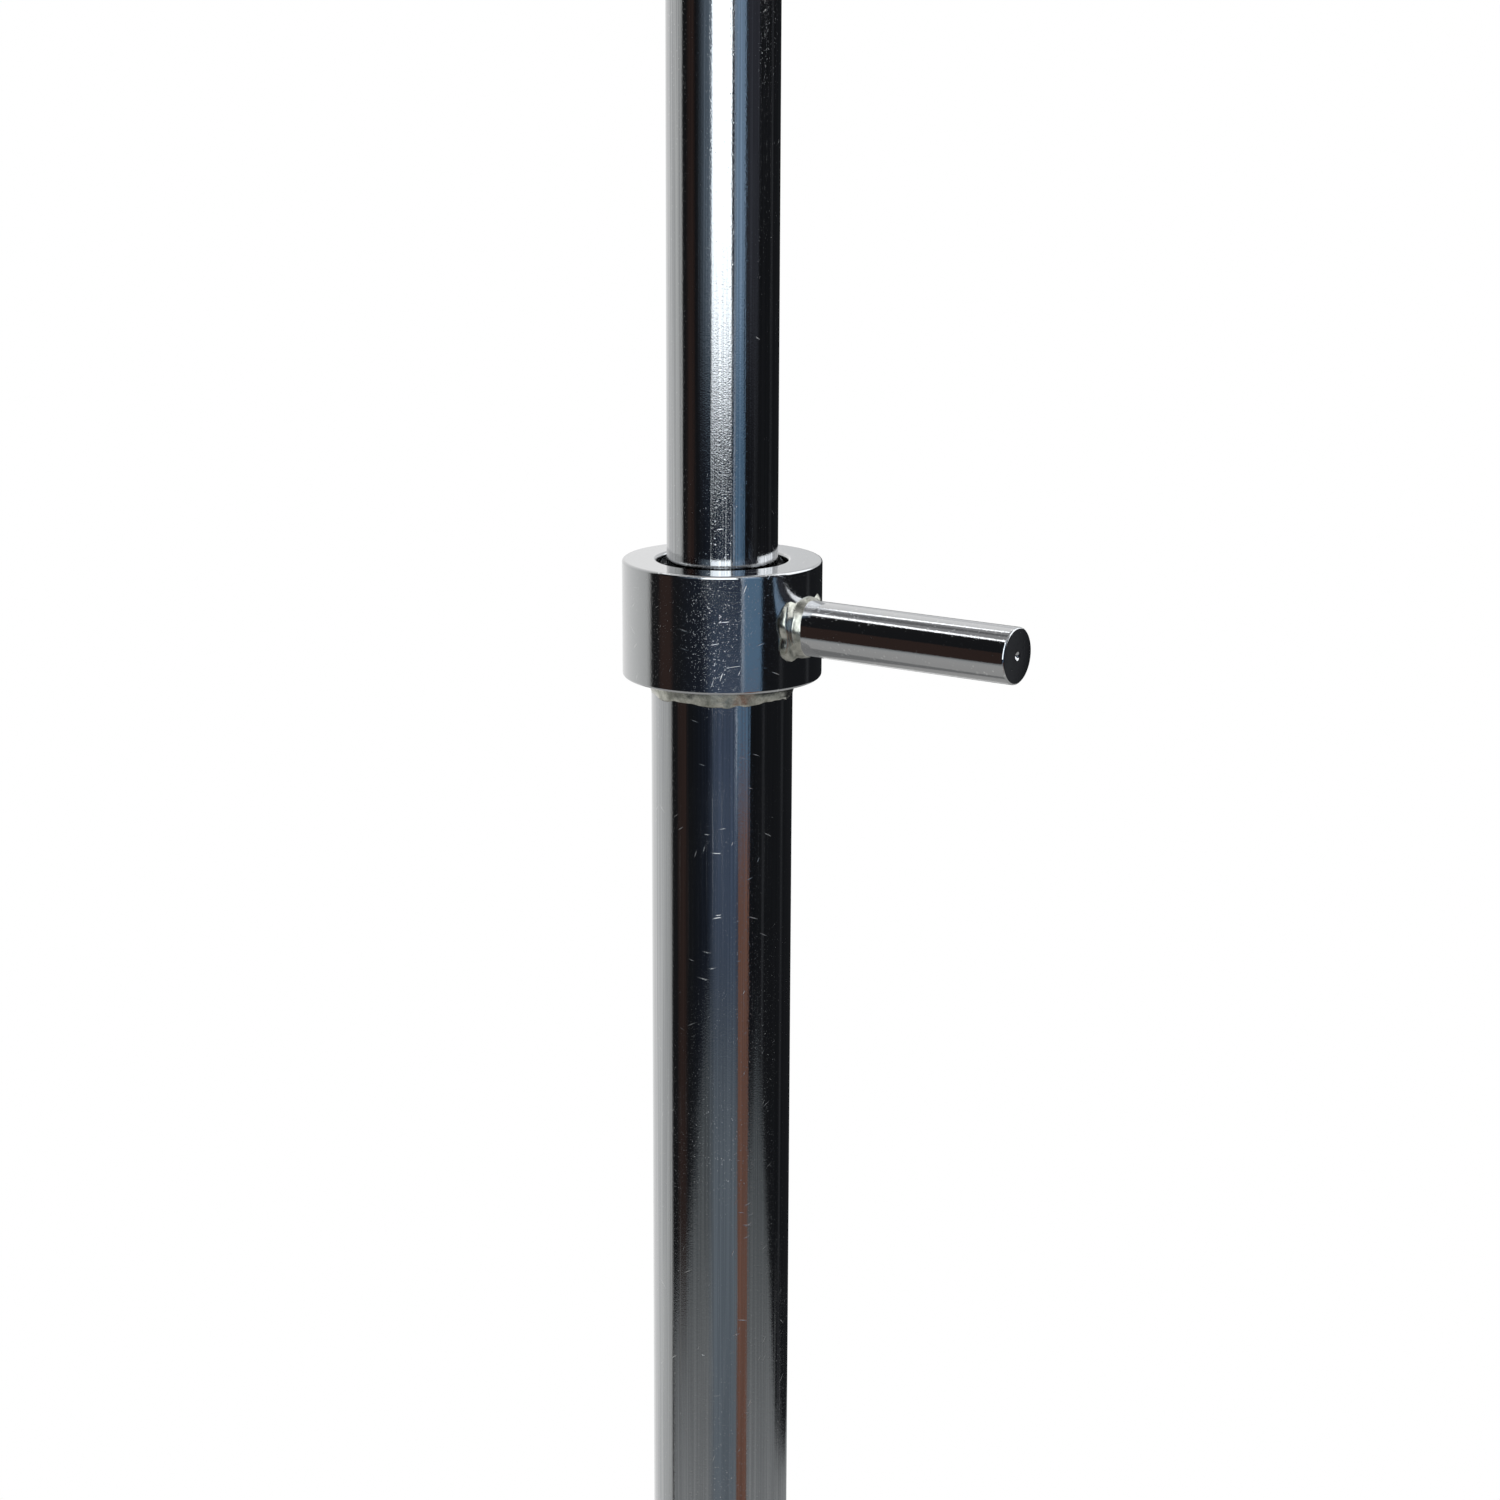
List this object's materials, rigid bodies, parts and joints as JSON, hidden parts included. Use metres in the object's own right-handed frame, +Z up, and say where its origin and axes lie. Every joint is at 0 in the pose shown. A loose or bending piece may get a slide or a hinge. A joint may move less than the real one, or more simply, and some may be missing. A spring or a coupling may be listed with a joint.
{
  "type": "iv drip stand",
  "caption": "Chromed telescopic drip stand on castors: a pole with bag hooks slides in a column and is held by a turning lock collar with a welded bar handle.",
  "frame": {"origin": "on the pole's axis, at the floor under the tyres", "axes": "+Z up along the pole, +X along the locked handle, first leg along +Y"},
  "size_m": [0.6618, 0.6303, 1.6845],
  "materials": {
    "chrome": "bright plated, lightly scratched",
    "weld_metal": "plated weld bead",
    "zinc_steel": "zinc plated",
    "black_steel": "oil blackened",
    "brass": "machined",
    "black_nylon": "moulded nylon",
    "grey_nylon": "moulded nylon",
    "grey_plastic": "moulded",
    "black_plastic": "moulded, fine grain",
    "grey_rubber": "non-marking rubber",
    "black_rubber": "moulded rubber"
  },
  "bodies": {
    "base": {"base_hub": "chrome", "leg_welds": "weld_metal", "leg_sockets": "grey_nylon", "castor_stems": "zinc_steel", "column_tube": "chrome", "column_plug": "zinc_steel", "column_washer": "zinc_steel", "column_bolt": "zinc_steel", "pole_buffer": "black_rubber", "guide_bush": "black_nylon", "seat_weld": "weld_metal", "leg_1": "chrome", "leg_2": "chrome", "leg_3": "chrome", "leg_4": "chrome", "leg_5": "chrome"},
    "lock": {"lock_collar": "chrome", "handle_rod": "chrome", "handle_weld": "weld_metal", "stop_screw": "black_steel"},
    "shoe": {"clamp_shoe": "brass"},
    "pole": {"pole_tube": "chrome", "pole_circlips": "black_steel", "pole_foot_bush": "black_nylon", "hook_head": "chrome", "head_screw": "black_steel", "hook_1": "chrome", "hook_2": "chrome", "hook_3": "chrome", "hook_4": "chrome"},
    "castor_1": {"castor_fork_1": "zinc_steel", "castor_axle_1": "zinc_steel", "brake_pin_1": "zinc_steel"},
    "wheel_1": {"castor_wheel_1": "grey_plastic", "castor_tyre_1": "grey_rubber"},
    "pedal_1": {"brake_pedal_1": "black_plastic"},
    "castor_2": {"castor_fork_2": "zinc_steel", "castor_axle_2": "zinc_steel", "brake_pin_2": "zinc_steel"},
    "wheel_2": {"castor_wheel_2": "grey_plastic", "castor_tyre_2": "grey_rubber"},
    "pedal_2": {"brake_pedal_2": "black_plastic"},
    "castor_3": {"castor_fork_3": "zinc_steel", "castor_axle_3": "zinc_steel"},
    "wheel_3": {"castor_wheel_3": "grey_plastic", "castor_tyre_3": "grey_rubber"},
    "castor_4": {"castor_fork_4": "zinc_steel", "castor_axle_4": "zinc_steel"},
    "wheel_4": {"castor_wheel_4": "grey_plastic", "castor_tyre_4": "grey_rubber"},
    "castor_5": {"castor_fork_5": "zinc_steel", "castor_axle_5": "zinc_steel"},
    "wheel_5": {"castor_wheel_5": "grey_plastic", "castor_tyre_5": "grey_rubber"}
  },
  "joints": [
    {"name": "pole_slide", "type": "slide", "parent": "base", "child": "pole", "axis": [0, 0, 1], "range_m": [-0.43, 0.478]},
    {"name": "lock_turn", "type": "hinge", "parent": "base", "child": "lock", "pos_m": [0, 0, 1.18675], "axis": [0, 0, 1], "range_deg": [0, 75]},
    {"name": "shoe_slide", "type": "slide", "parent": "base", "child": "shoe", "axis": [-1, 0, 0], "range_m": [0, 0.0006]},
    {"name": "castor_1_swivel", "type": "hinge", "parent": "base", "child": "castor_1", "pos_m": [0, 0.29, 0.059], "axis": [0, 0, 1], "continuous": true},
    {"name": "wheel_1_roll", "type": "hinge", "parent": "castor_1", "child": "wheel_1", "pos_m": [0, 0.31, 0.025], "axis": [-1, 0, 0], "continuous": true},
    {"name": "pedal_1_press", "type": "hinge", "parent": "castor_1", "child": "pedal_1", "pos_m": [0, 0.324, 0.053], "axis": [-1, 0, 0], "range_deg": [0, 16]},
    {"name": "castor_2_swivel", "type": "hinge", "parent": "base", "child": "castor_2", "pos_m": [-0.27581, 0.08961, 0.059], "axis": [0, 0, 1], "continuous": true},
    {"name": "wheel_2_roll", "type": "hinge", "parent": "castor_2", "child": "wheel_2", "pos_m": [-0.29483, 0.0958, 0.025], "axis": [-0.309, -0.9511, 0], "continuous": true},
    {"name": "pedal_2_press", "type": "hinge", "parent": "castor_2", "child": "pedal_2", "pos_m": [-0.30814, 0.10012, 0.053], "axis": [-0.309, -0.9511, 0], "range_deg": [0, 16]},
    {"name": "castor_3_swivel", "type": "hinge", "parent": "base", "child": "castor_3", "pos_m": [-0.17046, -0.23461, 0.059], "axis": [0, 0, 1], "continuous": true},
    {"name": "wheel_3_roll", "type": "hinge", "parent": "castor_3", "child": "wheel_3", "pos_m": [-0.18221, -0.2508, 0.025], "axis": [0.809, -0.5878, 0], "continuous": true},
    {"name": "castor_4_swivel", "type": "hinge", "parent": "base", "child": "castor_4", "pos_m": [0.17046, -0.23461, 0.059], "axis": [0, 0, 1], "continuous": true},
    {"name": "wheel_4_roll", "type": "hinge", "parent": "castor_4", "child": "wheel_4", "pos_m": [0.18221, -0.2508, 0.025], "axis": [0.809, 0.5878, 0], "continuous": true},
    {"name": "castor_5_swivel", "type": "hinge", "parent": "base", "child": "castor_5", "pos_m": [0.27581, 0.08961, 0.059], "axis": [0, 0, 1], "continuous": true},
    {"name": "wheel_5_roll", "type": "hinge", "parent": "castor_5", "child": "wheel_5", "pos_m": [0.29483, 0.0958, 0.025], "axis": [-0.309, 0.9511, 0], "continuous": true}
  ],
  "couplings": [
    {"joint": "shoe_slide", "follows": "lock_turn", "m_per_rad": 0.00045837}
  ]
}
